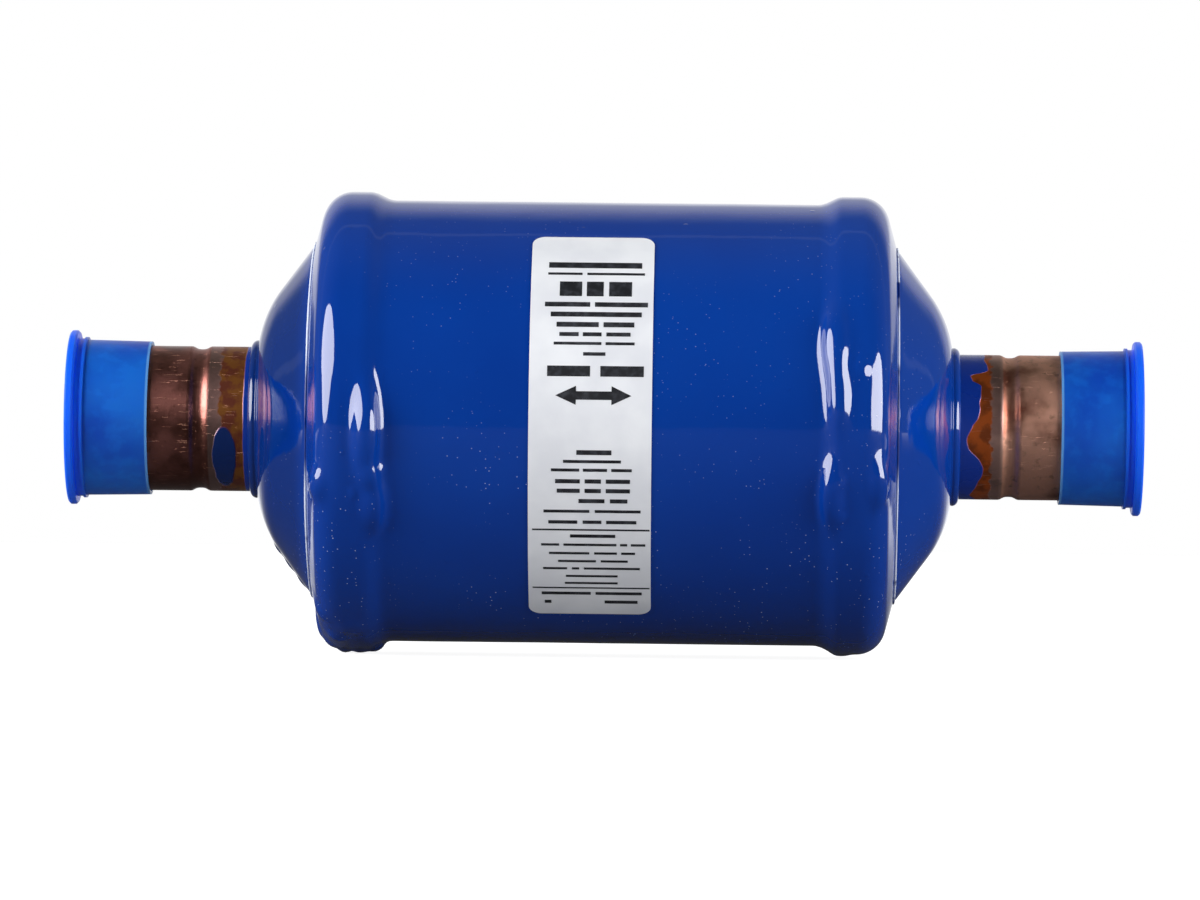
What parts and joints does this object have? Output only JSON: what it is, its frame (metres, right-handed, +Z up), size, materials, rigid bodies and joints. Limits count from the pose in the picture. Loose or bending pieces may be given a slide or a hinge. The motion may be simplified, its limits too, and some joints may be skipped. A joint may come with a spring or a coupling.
{
  "type": "filter drier",
  "caption": "Round filter drier for refrigerant lines: blue beaded steel shell with domed ends, copper solder sockets under push-on dust caps, drying core and check valves inside.",
  "frame": {"origin": "middle of the shell, on its axis", "axes": "+X along the drier's axis to the right-hand fitting, label facing -Y, +Z up"},
  "size_m": [0.182, 0.0778, 0.0778],
  "materials": {
    "enamel": "gloss",
    "copper": "tarnished",
    "cap_plastic": "satin",
    "label": "satin",
    "plated_steel": "satin",
    "spring_steel": "satin",
    "brass": "satin",
    "felt": "matte",
    "moulded_core": "matte"
  },
  "bodies": {
    "drier": {"shell": "enamel", "label": "label", "desiccant_core": "moulded_core", "core_wrap": "felt", "core_screen": "plated_steel", "left_end_dome": "enamel", "left_fitting": "copper", "left_braze_ring": "enamel", "left_valve_plate": "plated_steel", "left_inlet_spring": "spring_steel", "left_outlet_spring": "spring_steel", "left_valve_cage": "plated_steel", "left_core_pad": "felt", "left_core_cup": "plated_steel", "left_core_spring": "spring_steel", "right_end_dome": "enamel", "right_fitting": "copper", "right_braze_ring": "enamel", "right_valve_plate": "plated_steel", "right_inlet_spring": "spring_steel", "right_outlet_spring": "spring_steel", "right_valve_cage": "plated_steel", "right_core_pad": "felt", "right_core_cup": "plated_steel", "right_core_spring": "spring_steel"},
    "left_dust_cap": {"left_cap": "cap_plastic"},
    "left_inlet_check": {"left_inlet_flap": "spring_steel"},
    "left_outlet_check": {"left_outlet_poppet": "brass"},
    "right_dust_cap": {"right_cap": "cap_plastic"},
    "right_inlet_check": {"right_inlet_flap": "spring_steel"},
    "right_outlet_check": {"right_outlet_poppet": "brass"}
  },
  "joints": [
    {"name": "left_cap_pull", "type": "slide", "parent": "drier", "child": "left_dust_cap", "axis": [-1, 0, 0], "range_m": [0, 0.05]},
    {"name": "left_inlet_lift", "type": "slide", "parent": "drier", "child": "left_inlet_check", "axis": [1, 0, 0], "range_m": [0, 0.002], "stiffness_N_per_m": 100, "springref_m": -0.004, "deforming": ["left_inlet_spring"]},
    {"name": "left_outlet_lift", "type": "slide", "parent": "drier", "child": "left_outlet_check", "axis": [-1, 0, 0], "range_m": [0, 0.003], "stiffness_N_per_m": 100, "springref_m": -0.004, "deforming": ["left_outlet_spring"]},
    {"name": "right_cap_pull", "type": "slide", "parent": "drier", "child": "right_dust_cap", "axis": [1, 0, 0], "range_m": [0, 0.05]},
    {"name": "right_inlet_lift", "type": "slide", "parent": "drier", "child": "right_inlet_check", "axis": [-1, 0, 0], "range_m": [0, 0.002], "stiffness_N_per_m": 100, "springref_m": -0.004, "deforming": ["right_inlet_spring"]},
    {"name": "right_outlet_lift", "type": "slide", "parent": "drier", "child": "right_outlet_check", "axis": [1, 0, 0], "range_m": [0, 0.003], "stiffness_N_per_m": 100, "springref_m": -0.004, "deforming": ["right_outlet_spring"]}
  ]
}
